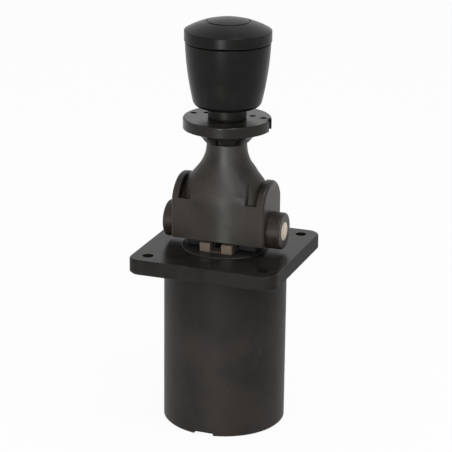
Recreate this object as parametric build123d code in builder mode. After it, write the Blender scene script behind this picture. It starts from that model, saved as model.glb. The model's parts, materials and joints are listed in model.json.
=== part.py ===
from build123d import *
from math import copysign, cos, pi, radians, sin, sqrt
import os

os.makedirs("parts", exist_ok=True)

# Hydraulic pilot joystick valve with one lever axis. Millimetres, +Z up.
# Origin: centre of the valve body's bottom face. The pivot pins lie along X, so the lever
# tilts to the front (-Y) and to the rear (+Y) and presses one plunger on each side.

# ---- Driving dimensions ----
fit = 0.03  # radial running clearance
gap = 0.3  # rest gap between pieces that meet in use

body_dia = 72.3
body_height = 98.0
notch_width = 12.0  # relief in the bottom rim
notch_height = 2.3
notch_depth = 4.0
edge_break = 0.8

port_bore = 11.8
port_depth = 14.0
supply_offset = 21.0  # pressure and tank ports, from the centre along X

flange_side = 90.0
flange_thick = 9.0
register = 0.8  # the body's chamfered top edge sits this far up in the flange
flange_corner = 8.0
flange_edge = 1.0
mount_spacing = 70.0
mount_hole = 6.5

plate_dia = 52.0  # pivot bracket's round plate
plate_proud = 0.6
plate_edge = 0.5
screw_spot_x = 15.5
screw_spot_y = 14.0
screw_dia = 4.0
screw_head_dia = 8.0
screw_length = 26.0
screw_socket = 2.5
screw_room = 1.0  # below a screw's end

pivot_height = 12.8  # pin axis above the flange's top
tilt_limit = 20.0  # degrees to each side
lug_inner = 11.0
lug_thick = 10.0
lug_width = 14.4
pin_dia = 8.0
pin_head_dia = 11.4
bush_wall = 1.2
bush_flange = 1.0
bush_flange_dia = 14.0

plunger_offset = 13.2  # plungers stand this far in front of and behind the pin axis
plunger_dia = 8.0
nose_radius = 6.8  # crown of the yoke's pressing edges, centred at pin height
tappet_width = 20.0
tappet_depth = 8.6
tappet_height = 6.4
tappet_slot = 7.0
tappet_web = 1.2
window_gap = 0.6

guide_dia = 20.0
guide_length = 25.0
chamber_dia = 18.0
chamber_floor = 40.0
ring_wire = 1.9
ring_groove = 2.5
wiper_dia = 14.8
wiper_height = 3.0
wiper_lip = 1.0
body_ring_dia = 62.0
body_ring_wire = 1.56

seat_dia = 16.8
seat_thick = 3.0
seat_spigot = 5.0
return_spring_dia = 14.6
return_spring_wire = 1.5
return_spring_turns = 6
control_spring_dia = 9.8
control_spring_wire = 1.1
control_spring_turns = 6
chords = 12  # straight chords in each turn of a spring

spool_dia = 8.0
spool_neck = 5.4
spool_foot = 16.0
spool_land = 4.5
spool_shoulder = 44.0
spool_head_dia = 11.2
spool_head = 2.5
spool_nose = 5.5

yoke_width = 56.8  # along the pin, over the ear plates
yoke_depth = 31.5
block_top = 30.6  # heights from the flange's top
ear_top = 42.2
ear_thick = 4.4
ear_round = 1.9
yoke_round = 1.2
boss_dia = 21.6
boss_span = 72.0
lug_room = 3.4  # between a lug's side and the yoke's wall
neck_top = 63.2
neck_dia = 23.4
thread_depth = 19.0

stem_dia = 10.0
nut_foot_dia = 24.8
nut_dia = 31.6
nut_thick = 4.0
nut_slots = 8
nut_slot_width = 3.4
nut_slot_root = 20.4
disc_dia = 51.2
disc_thick = 6.2
disc_hub_dia = 39.0
disc_hub = 4.4
disc_edge = 1.0
disc_hole = 3.8
disc_hole_rings = {41.8: 82.5, 29.4: 68.3}  # ring diameter: degrees to each side of +Y
disc_turn = 6.0  # the disc sits turned by this many degrees
disc_notch_width = 6.0
disc_notch_depth = 1.6
ring_height = 0.8
ring_dia = 22.0
collar_height = 5.8
collar_dia = 22.4

knob_bottom_dia = 38.4
knob_waist_dia = 45.8
knob_top_dia = 49.2
knob_height = 37.4
knob_bottom_round = 4.0
knob_split = 0.5
cap_dia = 50.2
cap_ring = 6.3
dome_height = 6.8
cap_round = 0.7
cap_groove_dia = 25.0
cap_groove = 1.2
spigot_dia = 36.0
spigot_height = 4.0
insert_dia = 18.0
insert_height = 24.0

# ---- Levels and places worked out from them ----
flange_top = body_height + flange_thick
body_top = body_height + register
plate_top = flange_top + plate_proud
pivot_z = flange_top + pivot_height
nose_low = pivot_z - nose_radius
tappet_top = nose_low - gap
tappet_bottom = tappet_top - tappet_height
stroke = plunger_offset * radians(tilt_limit)
plate_bottom = tappet_bottom - stroke - gap
guide_bottom = plate_bottom - guide_length
plunger_foot = guide_bottom - stroke - 2 * gap
seat_bottom = plunger_foot - seat_thick
window_width = tappet_width + 2 * window_gap
window_depth = max(tappet_depth, plunger_dia) + 2 * window_gap
yoke_half = yoke_width / 2
wall_inner = lug_width / 2 + lug_room
cavity_half = lug_inner + lug_thick + bush_flange + gap
neck_level = flange_top + neck_top
nut_top = neck_level + nut_thick
disc_bottom = nut_top + disc_hub
disc_top = disc_bottom + disc_thick
ring_top = disc_top + ring_height
knob_bottom = ring_top + collar_height
knob_top = knob_bottom + knob_height
cap_bottom = knob_top + knob_split
cap_shoulder = cap_bottom + cap_ring
stem_top = knob_bottom + insert_height
sides = {"front": -plunger_offset, "rear": plunger_offset}
plunger_spots = [(0, y) for y in sides.values()]
supply_spots = [(-supply_offset, 0), (supply_offset, 0)]
hands = {"left": -1, "right": 1}


def turned(outline, y=0.0):
    # A turned piece about the vertical line at y, from its (radius, height) corners.
    with BuildPart() as piece:
        with BuildSketch(Plane.XZ.offset(-y)):
            with BuildLine():
                Polyline(*outline, close=True)
            make_face()
        revolve(axis=Axis((0, y, 0), (0, 0, 1)))
    return piece


def coil(wire, dia, low, high, turns, y):
    # A helical spring between two levels, about the vertical line at y: short straight
    # chords of six-sided wire, mitred where they meet.
    rise = high - low - wire - 2 * gap
    steps = turns * chords
    with BuildPart() as spring:
        with BuildLine() as path:
            spots = []
            for step in range(steps + 1):
                turn = 2 * pi * step / chords
                level = low + gap + wire / 2 + rise * step / steps
                spots.append((dia / 2 * cos(turn), y + dia / 2 * sin(turn), level))
            Polyline(*spots)
        with BuildSketch(Plane(origin=path.line @ 0, z_dir=path.line % 0)):
            RegularPolygon(wire / 2, 6)
        sweep(transition=Transition.RIGHT)
    return spring


# ---- Valve body: guide bores, spring chambers, spool bores and ports ----
with BuildPart() as valve_body:
    with BuildSketch():
        Circle(body_dia / 2)
    extrude(amount=body_top)
    chamfer(valve_body.faces().sort_by(Axis.Z)[0].edges(), edge_break)
    chamfer(valve_body.faces().sort_by(Axis.Z)[-1].edges(), register)
    with BuildSketch(Plane.XY.offset(guide_bottom)):
        with Locations(*plunger_spots):
            Circle(guide_dia / 2)
    extrude(amount=body_top - guide_bottom, mode=Mode.SUBTRACT)
    with BuildSketch(Plane.XY.offset(chamber_floor)):
        with Locations(*plunger_spots):
            Circle(chamber_dia / 2)
    extrude(amount=guide_bottom - chamber_floor, mode=Mode.SUBTRACT)
    with BuildSketch(Plane.XY.offset(port_depth)):
        with Locations(*plunger_spots):
            Circle(spool_dia / 2 + fit)
    extrude(amount=chamber_floor - port_depth, mode=Mode.SUBTRACT)
    with BuildSketch():
        with Locations(*plunger_spots, *supply_spots):
            Circle(port_bore / 2)
    extrude(amount=port_depth, mode=Mode.SUBTRACT)
    with BuildSketch(Plane.XY.offset(body_top)):
        with GridLocations(2 * screw_spot_x, 2 * screw_spot_y, 2, 2):
            Circle(screw_dia / 2)
    extrude(amount=plate_top - screw_length - screw_room - body_top, mode=Mode.SUBTRACT)
    with BuildSketch(Plane.XY.offset(body_top - body_ring_wire)):
        Circle(body_ring_dia / 2 + body_ring_wire)
        Circle(body_ring_dia / 2 - body_ring_wire, mode=Mode.SUBTRACT)
    extrude(amount=body_ring_wire, mode=Mode.SUBTRACT)
    with BuildSketch():
        with Locations((0, -body_dia / 2)):
            Rectangle(notch_width, 2 * notch_depth)
    extrude(amount=notch_height, mode=Mode.SUBTRACT)
valve_body.part.label = "valve_body"
export_step(valve_body.part, "parts/valve_body.step")

with BuildPart() as body_seal:
    with Locations((0, 0, body_top - body_ring_wire / 2)):
        Torus(body_ring_dia / 2, body_ring_wire / 2)
body_seal.part.label = "body_seal"
export_step(body_seal.part, "parts/body_seal.step")

# ---- Mounting flange: round recesses for the bracket's plate and the body's top ----
with BuildPart() as mounting_flange:
    with BuildSketch(Plane.XY.offset(body_height)):
        RectangleRounded(flange_side, flange_side, flange_corner)
    extrude(amount=flange_thick)
    fillet(mounting_flange.faces().sort_by(Axis.Z)[-1].edges(), flange_edge)
    chamfer(mounting_flange.faces().sort_by(Axis.Z)[0].edges(), edge_break)
    with BuildSketch(Plane.XY.offset(plate_bottom)):
        Circle(plate_dia / 2 + fit)
    extrude(amount=flange_thick, mode=Mode.SUBTRACT)
    with BuildSketch(Plane.XY.offset(body_height)):
        Circle(body_dia / 2 + fit)
    extrude(amount=register, mode=Mode.SUBTRACT)
    with BuildSketch(Plane.XY.offset(body_height)):
        with Locations(*plunger_spots):
            Circle(guide_dia / 2)
        with GridLocations(mount_spacing, mount_spacing, 2, 2):
            Circle(mount_hole / 2)
        with GridLocations(2 * screw_spot_x, 2 * screw_spot_y, 2, 2):
            Circle(screw_dia / 2)
    extrude(amount=flange_thick, mode=Mode.SUBTRACT)
mounting_flange.part.label = "mounting_flange"
export_step(mounting_flange.part, "parts/mounting_flange.step")

# ---- Pivot bracket: a round plate with two lugs that carry the lever ----
with BuildPart() as pivot_bracket:
    with BuildSketch(Plane.XY.offset(plate_bottom)):
        Circle(plate_dia / 2)
    extrude(amount=plate_top - plate_bottom)
    chamfer(pivot_bracket.faces().sort_by(Axis.Z)[-1].edges(), plate_edge)
    for hand in hands.values():
        with BuildSketch(Plane.YZ.offset(hand * (lug_inner + lug_thick / 2) - lug_thick / 2)):
            with Locations((0, (plate_bottom + pivot_z) / 2)):
                Rectangle(lug_width, pivot_z - plate_bottom)
            with Locations((0, pivot_z)):
                Circle(lug_width / 2)
            with Locations((0, pivot_z)):
                Circle(pin_dia / 2 + bush_wall, mode=Mode.SUBTRACT)
        extrude(amount=lug_thick)
    with BuildSketch(Plane.XY.offset(plate_bottom)):
        with Locations(*plunger_spots):
            RectangleRounded(window_width, window_depth, window_gap)
    extrude(amount=plate_top - plate_bottom, mode=Mode.SUBTRACT)
    with Locations((0, 0, plate_top)):
        with GridLocations(2 * screw_spot_x, 2 * screw_spot_y, 2, 2):
            CounterSinkHole(screw_dia / 2, screw_head_dia / 2 + fit, counter_sink_angle=90)
pivot_bracket.part.label = "pivot_bracket"
export_step(pivot_bracket.part, "parts/pivot_bracket.step")

# Countersunk screws clamp the bracket and the flange to the valve body.
with BuildPart() as tie_screws:
    with GridLocations(2 * screw_spot_x, 2 * screw_spot_y, 2, 2):
        with Locations((0, 0, plate_top - screw_length / 2)):
            Cylinder(screw_dia / 2, screw_length)
        with Locations((0, 0, plate_top - (screw_head_dia - screw_dia) / 4)):
            Cone(screw_dia / 2, screw_head_dia / 2, (screw_head_dia - screw_dia) / 2)
    with BuildSketch(Plane.XY.offset(plate_top)):
        with GridLocations(2 * screw_spot_x, 2 * screw_spot_y, 2, 2):
            RegularPolygon(screw_socket / 2, 6, major_radius=False)
    extrude(amount=-screw_socket, mode=Mode.SUBTRACT)
tie_screws.part.label = "tie_screws"
export_step(tie_screws.part, "parts/tie_screws.step")

# ---- Flanged bushes in the lugs, and the two pins that turn in them ----
for name, hand in hands.items():
    with BuildPart() as lug_bush:
        with BuildSketch(Plane.YZ.offset(hand * lug_inner)):
            with Locations((0, pivot_z)):
                Circle(pin_dia / 2 + bush_wall)
        extrude(amount=hand * (lug_thick + bush_flange))
        with BuildSketch(Plane.YZ.offset(hand * (lug_inner + lug_thick))):
            with Locations((0, pivot_z)):
                Circle(bush_flange_dia / 2)
        extrude(amount=hand * bush_flange)
        with BuildSketch(Plane.YZ.offset(hand * lug_inner)):
            with Locations((0, pivot_z)):
                Circle(pin_dia / 2 + fit)
        extrude(amount=hand * (lug_thick + bush_flange), mode=Mode.SUBTRACT)
    lug_bush.part.label = f"lug_bush_{name}"
    export_step(lug_bush.part, f"parts/lug_bush_{name}.step")

    with BuildPart() as pivot_pin:
        with BuildSketch(Plane.YZ.offset(hand * lug_inner)):
            with Locations((0, pivot_z)):
                Circle(pin_dia / 2)
        extrude(amount=hand * (boss_span / 2 - lug_inner))
        with BuildSketch(Plane.YZ.offset(hand * cavity_half)):
            with Locations((0, pivot_z)):
                Circle(pin_head_dia / 2)
        extrude(amount=hand * (boss_span / 2 - cavity_half))
        pin_ends = pivot_pin.faces().sort_by(Axis.X)
        chamfer(pin_ends[-1 if hand > 0 else 0].edges(), edge_break / 2)
    pivot_pin.part.label = f"pivot_pin_{name}"
    export_step(pivot_pin.part, f"parts/pivot_pin_{name}.step")

# ---- One plunger set on each side of the pin axis ----
for name, y in sides.items():
    # Slotted steel tappet head under the yoke's pressing edge.
    with BuildPart() as tappet:
        with BuildSketch(Plane.XY.offset(tappet_bottom)):
            with Locations((0, y)):
                Rectangle(tappet_width, tappet_depth)
        extrude(amount=tappet_height)
        chamfer(tappet.edges().filter_by(Axis.Z), edge_break / 2)
        with BuildSketch(Plane.XY.offset(tappet_bottom + tappet_web)):
            with Locations((0, y)):
                Rectangle(tappet_slot, tappet_depth)
        extrude(amount=tappet_height, mode=Mode.SUBTRACT)
    tappet.part.label = f"tappet_{name}"
    export_step(tappet.part, f"parts/tappet_{name}.step")

    rod = plunger_dia / 2
    spigot = seat_spigot / 2
    plunger = turned(
        [(0, tappet_bottom), (rod, tappet_bottom), (rod, plunger_foot),
         (spigot, plunger_foot), (spigot, seat_bottom), (0, seat_bottom)], y)
    plunger.part.label = f"plunger_{name}"
    export_step(plunger.part, f"parts/plunger_{name}.step")

    seat = turned(
        [(spigot, plunger_foot), (seat_dia / 2, plunger_foot), (seat_dia / 2, seat_bottom),
         (spigot, seat_bottom)], y)
    seat.part.label = f"spring_seat_{name}"
    export_step(seat.part, f"parts/spring_seat_{name}.step")

    # Guide bush with a wiper in its mouth and a sealing ring in its outer groove.
    ring_low = guide_bottom + guide_length / 4
    groove = guide_dia / 2 - ring_wire
    wiper_floor = plate_bottom - wiper_height
    guide = turned(
        [(rod + fit, guide_bottom), (guide_dia / 2, guide_bottom), (guide_dia / 2, ring_low),
         (groove, ring_low), (groove, ring_low + ring_groove),
         (guide_dia / 2, ring_low + ring_groove), (guide_dia / 2, plate_bottom),
         (wiper_dia / 2, plate_bottom), (wiper_dia / 2, wiper_floor),
         (rod + fit, wiper_floor)], y)
    guide.part.label = f"plunger_guide_{name}"
    export_step(guide.part, f"parts/plunger_guide_{name}.step")

    wiper = turned(
        [(rod + 2 * fit, wiper_floor), (wiper_dia / 2, wiper_floor),
         (wiper_dia / 2, plate_bottom - fit), (rod + wiper_lip, plate_bottom - fit)], y)
    wiper.part.label = f"plunger_wiper_{name}"
    export_step(wiper.part, f"parts/plunger_wiper_{name}.step")

    with BuildPart() as guide_seal:
        with Locations((0, y, ring_low + ring_groove / 2)):
            Torus(guide_dia / 2 - ring_wire / 2 - fit, ring_wire / 2 - fit)
    guide_seal.part.label = f"guide_seal_{name}"
    export_step(guide_seal.part, f"parts/guide_seal_{name}.step")

    # Spool: three lands, a head that carries the control spring, and a nose inside it.
    land = spool_dia / 2
    neck = spool_neck / 2
    head_top = spool_shoulder + spool_head
    nose = control_spring_dia / 2 - control_spring_wire / 2 - 2 * gap
    lands = [spool_foot, (spool_foot + chamber_floor - spool_land) / 2, chamber_floor - spool_land]
    edge = [(0, spool_foot)]
    for low in lands:
        edge += [(land, low), (land, low + spool_land), (neck, low + spool_land)]
        if low != lands[-1]:
            edge += [(neck, lands[lands.index(low) + 1])]
    edge += [(neck, spool_shoulder), (spool_head_dia / 2, spool_shoulder)]
    edge += [(spool_head_dia / 2, head_top), (nose, head_top)]
    edge += [(nose, head_top + spool_nose), (0, head_top + spool_nose)]
    spool = turned(edge, y)
    spool.part.label = f"spool_{name}"
    export_step(spool.part, f"parts/spool_{name}.step")

    return_spring = coil(return_spring_wire, return_spring_dia, chamber_floor, seat_bottom,
                         return_spring_turns, y)
    return_spring.part.label = f"return_spring_{name}"
    export_step(return_spring.part, f"parts/return_spring_{name}.step")
    control_spring = coil(control_spring_wire, control_spring_dia, head_top, seat_bottom,
                          control_spring_turns, y)
    control_spring.part.label = f"control_spring_{name}"
    export_step(control_spring.part, f"parts/control_spring_{name}.step")

# ---- Yoke: bell, ear plates and bosses over an arched cavity ----
# Bell sections from the neck down: height, half width along X, half depth, squareness.
# A section is abs(x / half_x)**n + abs(y / half_y)**n = 1, round at n = 2.
neck_radius = neck_dia / 2
half_depth = yoke_depth / 2
section_points = 24
bell = [
    (neck_top, neck_radius, neck_radius, 2.0),
    (neck_top - 5.5, neck_radius + 0.5, neck_radius + 0.4, 2.0),
    (52.0, 14.3, 12.9, 2.0),
    (46.0, 18.6, 14.0, 2.1),
    (39.0, 24.0, 15.0, 2.3),
    (34.5, 25.6, half_depth - 0.2, 2.6),
    (block_top - 1, yoke_half - ear_thick / 2, half_depth - 0.02, 3.2),
]
crown_out = pivot_z - sqrt(nose_radius**2 - (half_depth - plunger_offset) ** 2)
crown_in = pivot_z - sqrt(nose_radius**2 - (plunger_offset - wall_inner) ** 2)
with BuildPart() as yoke:
    # Side profile across the whole width: round top, and lower front and rear edges
    # crowned to roll on the tappet heads.
    with BuildSketch(Plane.YZ.offset(-yoke_half)):
        with BuildLine():
            ThreePointArc((half_depth, crown_out), (plunger_offset, nose_low), (wall_inner, crown_in))
            Line((wall_inner, crown_in), (-wall_inner, crown_in))
            ThreePointArc((-wall_inner, crown_in), (-plunger_offset, nose_low), (-half_depth, crown_out))
            Line((-half_depth, crown_out), (-half_depth, flange_top + block_top))
            ThreePointArc((-half_depth, flange_top + block_top), (0, flange_top + ear_top),
                          (half_depth, flange_top + block_top))
            Line((half_depth, flange_top + block_top), (half_depth, crown_out))
        make_face()
    extrude(amount=yoke_width)
    for end in (0, -1):
        outline = yoke.faces().sort_by(Axis.X)[end].edges()
        fillet(outline.filter_by(lambda edge: edge.center().Z > pivot_z), ear_round)
    # The round top stays only on the two ear plates.
    with BuildSketch(Plane.XY.offset(flange_top + block_top)):
        Rectangle(yoke_width - 2 * ear_thick, 2 * yoke_depth)
    extrude(amount=ear_top, mode=Mode.SUBTRACT)
    for height, half_x, half_y, square in bell:
        spots = []
        for step in range(section_points):
            turn = 2 * pi * step / section_points
            x = copysign(half_x * abs(cos(turn)) ** (2 / square), cos(turn))
            y = copysign(half_y * abs(sin(turn)) ** (2 / square), sin(turn))
            spots.append((x, y))
        with BuildSketch(Plane.XY.offset(flange_top + height)):
            with BuildLine():
                Spline(*spots, periodic=True)
            make_face()
    loft()
    with BuildSketch(Plane.YZ.offset(-boss_span / 2)):
        with Locations((0, pivot_z)):
            Circle(boss_dia / 2)
    extrude(amount=boss_span)
    for end in (0, -1):
        fillet(yoke.faces().sort_by(Axis.X)[end].edges(), yoke_round)
    # Arched cavity round the lugs, the pin bores and the stem's hole.
    with BuildSketch(Plane.YZ.offset(-cavity_half)):
        with Locations((0, pivot_z)):
            Circle(wall_inner)
        with Locations((0, pivot_z - wall_inner)):
            Rectangle(2 * wall_inner, 2 * wall_inner)
    extrude(amount=2 * cavity_half, mode=Mode.SUBTRACT)
    with BuildSketch(Plane.YZ.offset(-boss_span / 2)):
        with Locations((0, pivot_z)):
            Circle(pin_head_dia / 2)
    extrude(amount=boss_span, mode=Mode.SUBTRACT)
    with BuildSketch(Plane.XY.offset(neck_level - thread_depth)):
        Circle(stem_dia / 2)
    extrude(amount=thread_depth, mode=Mode.SUBTRACT)
yoke.part.label = "yoke"
export_step(yoke.part, "parts/yoke.step")

# ---- Lever stack above the yoke ----
stem = turned([(0, neck_level - thread_depth), (stem_dia / 2, neck_level - thread_depth),
               (stem_dia / 2, stem_top), (0, stem_top)])
stem.part.label = "lever_stem"
export_step(stem.part, "parts/lever_stem.step")

# Conical nut with spanner slots, which runs on into the disc's hub.
with BuildPart() as lock_nut:
    with BuildSketch(Plane.XY.offset(neck_level)):
        Circle(nut_foot_dia / 2)
    with BuildSketch(Plane.XY.offset(nut_top)):
        Circle(nut_dia / 2)
    loft()
    with BuildSketch(Plane.XY.offset(neck_level)):
        Circle(stem_dia / 2)
        with PolarLocations((nut_slot_root + nut_dia) / 4, nut_slots):
            Rectangle((nut_dia - nut_slot_root) / 2, nut_slot_width)
    extrude(amount=nut_thick, mode=Mode.SUBTRACT)
lock_nut.part.label = "lock_nut"
export_step(lock_nut.part, "parts/lock_nut.step")

# Boot disc: the rim that a rubber boot clips over, with its hub below.
with BuildPart() as boot_disc:
    with BuildSketch(Plane.XY.offset(nut_top)):
        Circle(nut_dia / 2)
    with BuildSketch(Plane.XY.offset(disc_bottom)):
        Circle(disc_hub_dia / 2)
    loft()
    with BuildSketch(Plane.XY.offset(disc_bottom)):
        Circle(disc_dia / 2)
        with PolarLocations(disc_dia / 2, 1, disc_turn):
            Rectangle(2 * disc_notch_depth, disc_notch_width, mode=Mode.SUBTRACT)
    extrude(amount=disc_thick)
    fillet(boot_disc.faces().sort_by(Axis.Z)[-1].edges(), disc_edge)
    with BuildSketch(Plane.XY.offset(nut_top)):
        Circle(stem_dia / 2)
        for ring, half_angle in disc_hole_rings.items():
            first = 90 + disc_turn - half_angle
            with PolarLocations(ring / 2, 2, first, 2 * half_angle, endpoint=True):
                Circle(disc_hole / 2)
    extrude(amount=disc_hub + disc_thick, mode=Mode.SUBTRACT)
boot_disc.part.label = "boot_disc"
export_step(boot_disc.part, "parts/boot_disc.step")

spacer = turned([(stem_dia / 2, disc_top), (ring_dia / 2, disc_top),
                 (ring_dia / 2, ring_top), (stem_dia / 2, ring_top)])
spacer.part.label = "rubber_spacer"
export_step(spacer.part, "parts/rubber_spacer.step")

collar = turned([(stem_dia / 2, ring_top), (collar_dia / 2, ring_top),
                 (collar_dia / 2, knob_bottom), (stem_dia / 2, knob_bottom)])
collar.part.label = "neck_collar"
export_step(collar.part, "parts/neck_collar.step")

insert = turned([(stem_dia / 2, knob_bottom), (insert_dia / 2, knob_bottom),
                 (insert_dia / 2, stem_top), (stem_dia / 2, stem_top)])
insert.part.label = "knob_insert"
export_step(insert.part, "parts/knob_insert.step")

with BuildPart() as knob_body:
    with BuildSketch(Plane.XZ):
        with BuildLine():
            low = (knob_bottom_dia / 2, knob_bottom)
            high = (knob_top_dia / 2, knob_top)
            ThreePointArc(low, (knob_waist_dia / 2, (knob_bottom + knob_top) / 2), high)
            Polyline(high, (0, knob_top), (0, knob_bottom), low)
        make_face()
    revolve(axis=Axis.Z)
    fillet(knob_body.faces().sort_by(Axis.Z)[0].edges(), knob_bottom_round)
    fillet(knob_body.faces().sort_by(Axis.Z)[-1].edges(), cap_round)
    with BuildSketch(Plane.XY.offset(knob_bottom)):
        Circle(insert_dia / 2)
    extrude(amount=insert_height, mode=Mode.SUBTRACT)
    with BuildSketch(Plane.XY.offset(knob_top - spigot_height)):
        Circle(spigot_dia / 2)
    extrude(amount=spigot_height, mode=Mode.SUBTRACT)
knob_body.part.label = "knob_body"
export_step(knob_body.part, "parts/knob_body.step")

with BuildPart() as knob_cap:
    dome_radius = ((cap_dia / 2) ** 2 + dome_height**2) / (2 * dome_height)
    dome_centre = cap_shoulder + dome_height - dome_radius
    with BuildSketch(Plane.XZ):
        with BuildLine():
            rim = (cap_dia / 2, cap_shoulder)
            crown = (0, cap_shoulder + dome_height)
            middle = (cap_dia / 4, dome_centre + sqrt(dome_radius**2 - (cap_dia / 4) ** 2))
            ThreePointArc(crown, middle, rim)
            Polyline(rim, (cap_dia / 2, cap_bottom), (spigot_dia / 2, cap_bottom),
                     (spigot_dia / 2, knob_top - spigot_height), (0, knob_top - spigot_height), crown)
        make_face()
    revolve(axis=Axis.Z)
    rims = knob_cap.edges().filter_by(GeomType.CIRCLE)
    fillet(rims.filter_by(lambda rim: rim.radius > 0.99 * cap_dia / 2), cap_round)
    groove_level = dome_centre + sqrt(dome_radius**2 - (cap_groove_dia / 2) ** 2)
    with Locations((0, 0, groove_level)):
        Torus(cap_groove_dia / 2, cap_groove / 2, mode=Mode.SUBTRACT)
knob_cap.part.label = "knob_cap"
export_step(knob_cap.part, "parts/knob_cap.step")
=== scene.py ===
import json
from math import cos, radians, sin

import bpy
import numpy as np
from mathutils import Matrix, Vector


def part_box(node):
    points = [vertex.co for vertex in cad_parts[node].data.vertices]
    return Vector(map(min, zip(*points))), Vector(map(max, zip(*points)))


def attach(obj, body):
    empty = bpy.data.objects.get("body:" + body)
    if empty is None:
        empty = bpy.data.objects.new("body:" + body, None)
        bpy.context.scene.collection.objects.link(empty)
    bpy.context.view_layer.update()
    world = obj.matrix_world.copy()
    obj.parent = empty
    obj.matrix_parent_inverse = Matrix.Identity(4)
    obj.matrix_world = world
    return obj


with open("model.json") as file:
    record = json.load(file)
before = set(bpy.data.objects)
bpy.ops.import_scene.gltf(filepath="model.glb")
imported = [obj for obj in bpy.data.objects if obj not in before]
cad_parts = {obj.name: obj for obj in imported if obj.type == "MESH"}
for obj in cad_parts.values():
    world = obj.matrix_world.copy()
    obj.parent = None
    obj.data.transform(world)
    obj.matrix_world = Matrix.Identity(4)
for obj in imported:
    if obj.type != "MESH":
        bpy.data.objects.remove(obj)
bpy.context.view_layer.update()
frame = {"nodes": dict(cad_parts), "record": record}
nodes = frame["nodes"]
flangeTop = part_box("mounting_flange")[1].z  # finishes and new pieces are set from this level
print("frame loaded:", len(nodes), "CAD nodes")

cameraView = {
    "azimuth": 19.85,  # degrees from the front, towards the right
    "elevation": 18.42,
    "roll": -0.65,
    "distance": 1.1193,
    "aboveFlange": 0.01155,  # the point looked at
    "lens": 152.34,
    "sensor": 36.0,
}


def makeCamera(view):
    az, el, roll = (radians(view[key]) for key in ("azimuth", "elevation", "roll"))
    back = Vector((sin(az) * cos(el), -cos(az) * cos(el), sin(el)))
    right = (-back).cross(Vector((0, 0, 1))).normalized()
    up = right.cross(-back)
    turnedRight = right * cos(roll) - up * sin(roll)
    turnedUp = right * sin(roll) + up * cos(roll)
    place = Vector((0, 0, flangeTop + view["aboveFlange"])) + back * view["distance"]
    data = bpy.data.cameras.new("camera")
    data.sensor_width = view["sensor"]
    data.lens = view["lens"]
    camera = bpy.data.objects.new("camera", data)
    bpy.context.scene.collection.objects.link(camera)
    columns = Matrix((turnedRight, turnedUp, back)).transposed()
    camera.matrix_world = Matrix.Translation(place) @ columns.to_4x4()
    bpy.context.scene.camera = camera


makeCamera(cameraView)
bpy.context.scene.view_settings.view_transform = "Standard"
print("camera made")


class Wire:
    # A node's output socket; sums and products of wires and numbers add Math nodes.
    def __init__(self, graph, socket):
        self.graph, self.socket = graph, socket

    def math(self, operation, first, second):
        return self.graph.node("ShaderNodeMath", {"operation": operation}, {0: first, 1: second})

    def __add__(self, other):
        return self.math("ADD", self, other)

    def __sub__(self, other):
        return self.math("SUBTRACT", self, other)

    def __rsub__(self, other):
        return self.math("SUBTRACT", other, self)

    def __mul__(self, other):
        return self.math("MULTIPLY", self, other)

    def __truediv__(self, other):
        return self.math("DIVIDE", self, other)

    def __rtruediv__(self, other):
        return self.math("DIVIDE", other, self)

    def __pow__(self, other):
        return self.math("POWER", self, other)

    def __rpow__(self, other):
        return self.math("POWER", other, self)

    __radd__, __rmul__ = __add__, __mul__


class Graph:
    # A node tree, where node() makes every node that the tree doesn't start with.
    def __init__(self, tree):
        self.tree = tree

    def join(self, value, socket):
        if isinstance(value, Wire):
            self.tree.links.new(value.socket, socket)
        else:
            socket.default_value = value

    def node(self, kind, settings=None, inputs=None, out=0):
        made = self.tree.nodes.new(kind)
        for key, value in (settings or {}).items():
            setattr(made, key, value)
        byName = {socket.identifier: socket for socket in made.inputs}
        for key, value in (inputs or {}).items():
            self.join(value, made.inputs[key] if isinstance(key, int) else byName[key])
        if isinstance(out, str):
            return Wire(self, {socket.identifier: socket for socket in made.outputs}[out])
        return Wire(self, made.outputs[out])


class Finish(Graph):
    # One material: a Principled shader, and the nodes that feed it.
    def __init__(self, name, **values):
        self.material = bpy.data.materials.new(name)
        self.material.use_nodes = True
        super().__init__(self.material.node_tree)
        self.shader = self.tree.nodes["Principled BSDF"]
        for key, value in values.items():
            self.feed(key, value)

    def feed(self, key, value):
        value = (*value, 1) if isinstance(value, tuple) else value
        self.join(value, self.shader.inputs[key.replace("_", " ")])

    def noise(self, scale, texture, stretch=(1, 1, 1)):
        # Read in object coordinates: the same place on the piece in every pose.
        spot = self.node("ShaderNodeTexCoord", out="Object")
        place = self.node("ShaderNodeMapping", inputs={"Vector": spot, "Scale": stretch})
        detail, rough = texture
        values = {"Vector": place, "Scale": scale, "Detail": detail, "Roughness": rough}
        return self.node("ShaderNodeTexNoise", inputs=values)

    def step(self, wire, low, high):
        # 0 below low, 1 above high, smooth between.
        values = {"Value": wire, "From Min": low, "From Max": high}
        return self.node("ShaderNodeMapRange", {"interpolation_type": "SMOOTHSTEP"}, values)

    def blend(self, mask, first, second):
        first, second = (shade if isinstance(shade, Wire) else (*shade, 1) for shade in (first, second))
        values = {"Factor_Float": mask, "A_Color": first, "B_Color": second}
        return self.node("ShaderNodeMix", {"data_type": "RGBA"}, values, "Result_Color")

    def bump(self, height, strength, distance):
        values = {"Height": height, "Strength": strength, "Distance": distance}
        self.feed("Normal", self.node("ShaderNodeBump", inputs=values))

    def part(self, axis):
        # One of the piece's own coordinates, in metres.
        spot = self.node("ShaderNodeTexCoord", out="Object")
        return self.node("ShaderNodeSeparateXYZ", inputs={0: spot}, out=axis)


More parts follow.
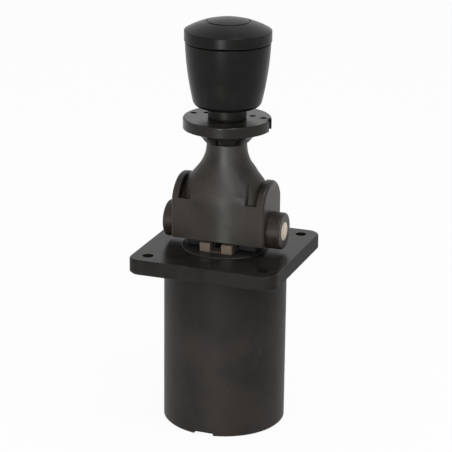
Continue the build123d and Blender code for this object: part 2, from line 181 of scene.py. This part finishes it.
# In the finishes, tones are linear RGB, a texture is a noise's detail and roughness, edges are
# where a smooth step starts and ends, and levels are heights above the flange in metres.
ironLook = {
    "cloudTexture": (4, 0.6), "cloudEdges": (0.35, 0.65), "cloudRough": 0.18,
    "rubTexture": (5, 0.7), "rubEdges": (0.62, 0.78), "rubGloss": 0.08,
    "grainTexture": (4, 0.65),
}
bodyLook = {
    **ironLook,
    "tone": (0.021, 0.0175, 0.0155), "dark": (0.0135, 0.0115, 0.0102), "cloud": 38.0,
    "rub": 120.0, "rubStretch": (1, 1, 0.45), "rubShare": 0.35, "rubTone": (0.060, 0.057, 0.055),
    "specular": 0.15, "rough": 0.40, "grain": 1900.0, "bump": 0.35, "depth": 0.0002,
    "stainAndPaintedShade": 0.75, "stainAndPaintedShadeDark": 0.4, "paintedShadeLevels": (-0.057, -0.009),  # painted shade below the flange, darkest just under it
}
yokeLook = {
    **ironLook,
    "tone": (0.021, 0.0155, 0.0115), "dark": (0.009, 0.007, 0.0050), "cloud": 46.0,
    "rub": 85.0, "rubStretch": (1, 1, 0.7), "rubShare": 0.6, "rubTone": (0.060, 0.042, 0.028),
    "specular": 0.26, "rough": 0.31, "grain": 1300.0, "bump": 0.4, "depth": 0.00025,
    # A painted highlight: a paler upright band in the base colour, down the yoke's front.
    "paintedHighlight": 0.75, "paintedHighlightTone": (0.100, 0.106, 0.098),
    "paintedHighlightAt": 0.0045, "paintedHighlightWidth": 0.0062, "paintedHighlightPower": -2.0,
    "highlightGapLevels": (0.027, 0.037, 0.043, 0.057), "highlightGapShare": 0.6,  # where the painted highlight is weaker
}


def paintShadeUnderFlange(finish, shade, look):
    # Painted shade under the flange: darker upwards between the two levels.
    low, high = (flangeTop + level for level in look["paintedShadeLevels"])
    stainAndPaintedShade = finish.step(finish.part("Z"), low, high) * look["stainAndPaintedShade"]
    return finish.blend(stainAndPaintedShade, shade, tuple(channel * look["stainAndPaintedShadeDark"] for channel in look["dark"]))


def paintHighlightBand(finish, shade, cloud, look):
    # A painted highlight in the base colour: a paler upright band, (1 + ((x - at) / width)**2)**power.
    across = (finish.part("X") - look["paintedHighlightAt"]) / look["paintedHighlightWidth"]
    height = finish.part("Z")
    low, lowEnd, high, highEnd = (flangeTop + level for level in look["highlightGapLevels"])
    highlightGap = finish.step(height, low, lowEnd) * (1 - finish.step(height, high, highEnd))
    highlightBand = (across * across + 1) ** look["paintedHighlightPower"] * cloud * (1 - highlightGap * look["highlightGapShare"])
    return finish.blend(highlightBand * look["paintedHighlight"], shade, look["paintedHighlightTone"])


def castIron(name, look):
    # Phosphated iron: cloudy tone, fine grain, small pale rubs; where the look asks, also painted shade
    # and a painted highlight.
    finish = Finish(name, Specular_IOR_Level=look["specular"])
    cloud = finish.noise(look["cloud"], look["cloudTexture"])
    rubNoise = finish.noise(look["rub"], look["rubTexture"], look["rubStretch"])
    rub = finish.step(rubNoise, *look["rubEdges"])
    shade = finish.blend(finish.step(cloud, *look["cloudEdges"]), look["dark"], look["tone"])
    shade = finish.blend(rub * look["rubShare"], shade, look["rubTone"])
    # Painted shade on the body just under the flange.
    if "stainAndPaintedShade" in look:
        shade = paintShadeUnderFlange(finish, shade, look)
    # Painted highlight: a paler upright band on the yoke.
    if "paintedHighlight" in look:
        shade = paintHighlightBand(finish, shade, cloud, look)
    finish.feed("Base Color", shade)
    finish.feed("Roughness", look["rough"] + cloud * look["cloudRough"] - rub * look["rubGloss"])
    finish.bump(finish.noise(look["grain"], look["grainTexture"]), look["bump"], look["depth"])
    return finish


flangeLook = {
    "tone": (0.015, 0.0132, 0.0118), "dark": (0.0085, 0.0073, 0.0065),
    "cloud": 60.0, "cloudTexture": (4, 0.6), "cloudEdges": (0.35, 0.65), "cloudRough": 0.10,
    "scuff": 240.0, "scuffTexture": (5, 0.7), "scuffEdges": (0.63, 0.80),
    "scuffStretch": (1, 0.3, 1), "scuffShare": 0.3, "scuffTone": (0.050, 0.046, 0.042),
    "specular": 0.11, "rough": 0.5, "topGloss": 0.30, "topLevels": (-0.0008, -0.0001),
    "grain": 2200.0, "grainTexture": (3, 0.6), "bump": 0.22, "depth": 0.00012,
}


def flangeIron(name, look):
    # Machined top with a dull gloss; rougher edges and underside.
    finish = Finish(name, Specular_IOR_Level=look["specular"])
    low, high = (flangeTop + level for level in look["topLevels"])
    top = finish.step(finish.part("Z"), low, high)
    cloud = finish.noise(look["cloud"], look["cloudTexture"])
    scuffNoise = finish.noise(look["scuff"], look["scuffTexture"], look["scuffStretch"])
    scuff = finish.step(scuffNoise, *look["scuffEdges"])
    shade = finish.blend(finish.step(cloud, *look["cloudEdges"]), look["dark"], look["tone"])
    finish.feed("Base Color", finish.blend(scuff * look["scuffShare"], shade, look["scuffTone"]))
    finish.feed("Roughness", look["rough"] - top * look["topGloss"] + cloud * look["cloudRough"])
    finish.bump(finish.noise(look["grain"], look["grainTexture"]), look["bump"], look["depth"])
    return finish


plasticLook = {
    "wear": 70.0, "wearTexture": (4, 0.6), "wearEdges": (0.45, 0.75), "wearRough": 0.1,
    "wornGain": 1.7, "wornLift": 0.002,  # a worn spot's tone, from the plain one
    "grainTexture": (2, 0.5), "bump": 0.3,
}


def plastic(name, tone, rough, specular, grain, depth):
    # Moulded plastic or rubber: even tone, fine pebble, faint handling marks.
    look = plasticLook
    finish = Finish(name, Specular_IOR_Level=specular)
    wear = finish.step(finish.noise(look["wear"], look["wearTexture"]), *look["wearEdges"])
    worn = tuple(channel * look["wornGain"] + look["wornLift"] for channel in tone)
    finish.feed("Base Color", finish.blend(wear, tone, worn))
    finish.feed("Roughness", rough + wear * look["wearRough"])
    finish.bump(finish.noise(grain, look["grainTexture"]), look["bump"], depth)
    return finish


metalLook = {
    "stainAndPaintedShade": 150.0, "stainTexture": (4, 0.6), "stainEdges": (0.4, 0.8),
    "stainAndPaintedShadeDark": 0.62, "stainRough": 0.12,
    "streakTexture": (3, 0.6), "streakRough": 0.08, "bump": 0.15, "depth": 0.00008,
}


def turnedMetal(name, tone, rough, metallic, grain, stretch=(1, 1, 1), specular=0.5):
    # Machined metal: fine streaks and slight stains.
    look = metalLook
    finish = Finish(name, Specular_IOR_Level=specular, Metallic=metallic)
    stainAndPaintedShade = finish.step(finish.noise(look["stainAndPaintedShade"], look["stainTexture"]), *look["stainEdges"])
    streak = finish.noise(grain, look["streakTexture"], stretch)
    darker = tuple(channel * look["stainAndPaintedShadeDark"] for channel in tone)
    finish.feed("Base Color", finish.blend(stainAndPaintedShade, tone, darker))
    finish.feed("Roughness", rough + stainAndPaintedShade * look["stainRough"] + streak * look["streakRough"])
    finish.bump(streak, look["bump"], look["depth"])
    return finish


finishes = {
    "cast_body": castIron("castBody", bodyLook),
    "blackened_steel": castIron("yokeSteel", yokeLook),
    "flange_iron": flangeIron("flangeIron", flangeLook),
    "knob_plastic": plastic("knobPlastic", (0.0054, 0.0050, 0.0047), rough=0.29,
                            specular=0.12, grain=2600.0, depth=0.00007),
    "moulded_disc": plastic("discPlastic", (0.009, 0.0080, 0.0072), rough=0.22,
                            specular=0.20, grain=1800.0, depth=0.00006),
    "collar_plastic": plastic("collarPlastic", (0.008, 0.0078, 0.0070), rough=0.42,
                              specular=0.2, grain=1800.0, depth=0.0001),
    "seal_rubber": plastic("sealRubber", (0.006, 0.006, 0.006), rough=0.7,
                           specular=0.2, grain=1500.0, depth=0.0001),
    "dark_steel": turnedMetal("darkSteel", (0.011, 0.010, 0.0095), rough=0.42,
                              metallic=0.0, grain=900.0, specular=0.2),
    "screw_steel": turnedMetal("screwSteel", (0.013, 0.0125, 0.012), rough=0.4,
                               metallic=0.0, grain=900.0, specular=0.25),
    "tappet_steel": turnedMetal("tappetSteel", (0.125, 0.094, 0.070), rough=0.42,
                                metallic=0.45, grain=500.0, stretch=(1, 1, 4)),
    "bright_steel": turnedMetal("brightSteel", (0.66, 0.57, 0.46), rough=0.40,
                                metallic=0.7, grain=700.0),
    "spring_steel": turnedMetal("springSteel", (0.35, 0.35, 0.37), rough=0.35,
                                metallic=0.9, grain=900.0),
    "bronze_bush": turnedMetal("bronzeBush", (0.45, 0.28, 0.12), rough=0.42,
                               metallic=0.9, grain=900.0),
    "brass_insert": turnedMetal("brassInsert", (0.6, 0.44, 0.18), rough=0.35,
                                metallic=0.9, grain=900.0),
}
slotOf = {row["node"]: row["material_slot"] for row in frame["record"]["subparts"]}
for name, piece in nodes.items():
    piece.data.materials.clear()
    piece.data.materials.append(finishes[slotOf[name]].material)
print("finishes given to", len(nodes), "nodes")


# The casting's front and rear swell softly from the pressing edge up into the bell. Each
# skin is a grid over the yoke: x across, h above the flange. Its depth is a mix of
#   block: half depth - sunk + bulge * cos(pi x / 2 reach)**2 * a smooth step above the edge
#   bell:  b(h) * (1 - |x / a(h)|**n(h))**(1 / n(h)), with a, b and n from the rows below.
# Past the shoulder it dives under the casting, which leaves the pockets by the ear plates.
swell = {
    "reach": 0.0232,  # to each side of the middle
    "inside": 0.94,  # and this share of the bell's own half width at most
    "shoulder": 0.0165, "shoulderEnd": 0.0198, "dive": 0.004,
    "low": 0.0070, "high": 0.050,  # heights above the flange
    "halfDepth": 0.01575, "sunk": 0.0001,
    "bulge": 0.0009, "bulgeFrom": 0.0075, "bulgeTo": 0.034,
    "mixFrom": 0.0285, "mixTo": 0.0385,  # from block to bell
    "across": 96, "up": 120,
    "h": (0.030, 0.0345, 0.039, 0.046, 0.052),
    "a": (0.0262, 0.0258, 0.0242, 0.0187, 0.0143),
    "b": (0.0159, 0.0157, 0.0152, 0.01408, 0.01286),
    "n": (4.2, 3.4, 2.6, 2.12, 2.0),
}


def smoothStep(value, low, high):
    share = np.clip((value - low) / (high - low), 0, 1)
    return share * share * (3 - 2 * share)


def gridFaces(rows, columns, flip):
    corner = np.arange((rows - 1) * columns).reshape(rows - 1, columns)[:, :-1].ravel()
    quads = np.stack((corner, corner + 1, corner + columns + 1, corner + columns), axis=1)
    return quads[:, ::-1] if flip else quads


def meshPiece(name, points, faces, finish):
    mesh = bpy.data.meshes.new(name)
    mesh.from_pydata(points.reshape(-1, 3).tolist(), [], faces.tolist())
    mesh.polygons.foreach_set("use_smooth", np.ones(len(faces), dtype=bool))
    mesh.materials.append(finish.material)
    piece = bpy.data.objects.new(name, mesh)
    bpy.context.scene.collection.objects.link(piece)
    return piece


def makeSwell(name, look, side):
    h = np.linspace(look["low"], look["high"], look["up"])[:, None]
    a, b, n = (np.interp(h, look["h"], look[key]) for key in "abn")
    x = np.linspace(-1, 1, look["across"])[None, :] * np.minimum(look["reach"], look["inside"] * a)
    bell = b * np.clip(1 - np.abs(x / a) ** n, 0, 1) ** (1 / n)
    crown = np.cos(np.pi * x / (2 * look["reach"])) ** 2
    rise = smoothStep(h, look["bulgeFrom"], look["bulgeTo"])
    block = look["halfDepth"] - look["sunk"] + look["bulge"] * crown * rise
    mix = smoothStep(h, look["mixFrom"], look["mixTo"])
    depth = block * (1 - mix) + bell * mix
    depth = depth - look["dive"] * smoothStep(np.abs(x), look["shoulder"], look["shoulderEnd"])
    points = np.stack(np.broadcast_arrays(x, side * depth, flangeTop + h), axis=-1)
    piece = meshPiece(name, points, gridFaces(look["up"], look["across"], side > 0),
                      finishes["blackened_steel"])
    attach(piece, "lever")


makeSwell("yokeSwellFront", swell, -1)
makeSwell("yokeSwellRear", swell, 1)
print("yoke swell made")


floorLook = {
    "size": 6.0,
    "tone": 0.88,
    "white": 0.93,  # share of plain white that the camera sees on the floor
    "rough": 0.9,
    "grain": 300.0, "grainTexture": (2, 0.5), "grainDark": 0.98,
}
worldLight = 0.62
lamps = {
    "keyLamp": {"power": 3.0, "size": 0.4, "spot": (0.50, -1.05, 0.75)},
    "topLamp": {"power": 4.0, "size": 0.16, "spot": (0.34, -0.22, 1.30)},
    "frontLamp": {"power": 7.0, "size": 0.26, "spot": (0.05, -1.25, 0.13)},
}


def seenWhite(graph):
    # 1 for camera, mirror and glass rays, 0 for the others.
    rays = ("Is Camera Ray", "Is Glossy Ray", "Is Transmission Ray")
    camera, mirror, glass = (graph.node("ShaderNodeLightPath", out=ray) for ray in rays)
    return camera + (mirror + glass)


def makeFloor(look):
    size, tone = look["size"], (look["tone"],) * 3
    mesh = bpy.data.meshes.new("floor")
    corners = [(-size, -size, 0), (size, -size, 0), (size, size, 0), (-size, size, 0)]
    mesh.from_pydata(corners, [], [(0, 1, 2, 3)])
    floor = bpy.data.objects.new("floor", mesh)
    bpy.context.scene.collection.objects.link(floor)
    finish = Finish("floorPaper", Roughness=look["rough"], Specular_IOR_Level=0.0)
    darker = tuple(channel * look["grainDark"] for channel in tone)
    grain = finish.noise(look["grain"], look["grainTexture"])
    finish.feed("Base Color", finish.blend(grain, tone, darker))
    paper = Wire(finish, finish.shader.outputs[0])
    plain = finish.node("ShaderNodeEmission", inputs={"Color": (1, 1, 1, 1), "Strength": 1.0})
    share = seenWhite(finish) * look["white"]
    shown = finish.node("ShaderNodeMixShader", inputs={0: share, 1: paper, 2: plain})
    finish.join(shown, finish.tree.nodes["Material Output"].inputs["Surface"])
    mesh.materials.append(finish.material)


def makeWorld(light):
    # White to the eye, and dimmer as a source of light.
    world = bpy.data.worlds.new("studio")
    world.use_nodes = True
    graph = Graph(world.node_tree)
    values = {"Value": seenWhite(graph), "To Min": light, "To Max": 1.0}
    back = graph.tree.nodes["Background"]
    graph.join((1, 1, 1, 1), back.inputs["Color"])
    graph.join(graph.node("ShaderNodeMapRange", inputs=values), back.inputs["Strength"])
    bpy.context.scene.world = world


def makeLamp(name, power, size, spot):
    data = bpy.data.lights.new(name, "AREA")
    data.energy = power
    data.size = size
    lamp = bpy.data.objects.new(name, data)
    bpy.context.scene.collection.objects.link(lamp)
    aim = Vector(spot) - Vector((0, 0, flangeTop))
    turn = aim.to_track_quat("Z", "Y").to_matrix().to_4x4()
    lamp.matrix_world = Matrix.Translation(Vector(spot)) @ turn


makeFloor(floorLook)
makeWorld(worldLight)
for name, lamp in lamps.items():
    makeLamp(name, **lamp)
print("studio ready")
